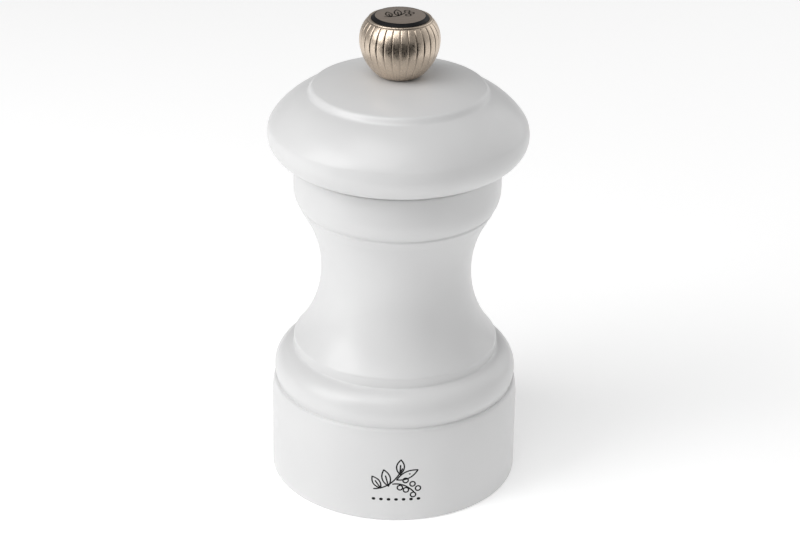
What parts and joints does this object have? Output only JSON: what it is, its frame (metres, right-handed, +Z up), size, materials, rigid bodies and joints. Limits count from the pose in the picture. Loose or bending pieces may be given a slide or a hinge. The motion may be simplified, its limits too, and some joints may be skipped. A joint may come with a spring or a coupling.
{
  "type": "pepper mill",
  "caption": "Small turned wooden pepper mill with a white lacquered waisted body, a mushroom head, a fluted metal ball knob and a conical burr grinder.",
  "frame": {"origin": "centre of the base's bottom ring, on the surface the mill stands on", "axes": "+Z up the spindle, -Y towards the front of the base, where the printed emblem is, +X to the right seen from the front"},
  "size_m": [0.0532, 0.0532, 0.101],
  "materials": {
    "white_lacquer": "white satin lacquer over turned hardwood",
    "satin_nickel": "warm satin nickel plate",
    "black_enamel": "black enamel or printed ink",
    "burr_steel": "case-hardened grey steel",
    "bright_steel": "zinc-plated bright steel",
    "brass": "turned brass",
    "black_plastic": "moulded black plastic"
  },
  "bodies": {
    "body": {"body_casing": "white_lacquer", "mechanism_housing": "black_plastic", "grinder_stator": "burr_steel", "spring_seat_plate": "bright_steel", "retaining_bridge": "bright_steel", "bridge_screw_left": "bright_steel", "bridge_screw_right": "bright_steel", "pivot_bush": "brass"},
    "turner": {"thrust_washer": "bright_steel", "grinder_spring": "bright_steel"},
    "spindle": {"spindle": "bright_steel", "grinder_rotor": "burr_steel", "rotor_washer": "bright_steel", "retaining_clip": "bright_steel"},
    "head": {"head_casing": "white_lacquer", "drive_plate": "bright_steel", "drive_plate_screw_1": "bright_steel", "drive_plate_screw_2": "bright_steel", "drive_plate_screw_3": "bright_steel"},
    "knob": {"knob_shell": "satin_nickel", "knob_thread_insert": "brass", "knob_ring_inlay": "black_enamel", "knob_cap_disc": "satin_nickel"}
  },
  "joints": [
    {"name": "head_turn", "type": "hinge", "parent": "body", "child": "turner", "pos_m": [0, 0, 0.0705], "axis": [0, 0, 1], "continuous": true},
    {"name": "grind_adjust", "type": "slide", "parent": "turner", "child": "spindle", "axis": [0, 0, 1], "range_m": [-0.00105, 0.00035], "deforming": ["grinder_spring"]},
    {"name": "head_lift", "type": "slide", "parent": "turner", "child": "head", "axis": [0, 0, 1], "range_m": [0, 0.038]},
    {"name": "knob_turn", "type": "hinge", "parent": "head", "child": "knob", "pos_m": [0, 0, 0.0956], "axis": [0, 0, 1], "range_deg": [-180, 540]}
  ],
  "couplings": [
    {"joint": "knob_turn", "follows": "grind_adjust", "rad_per_m": -8976}
  ]
}
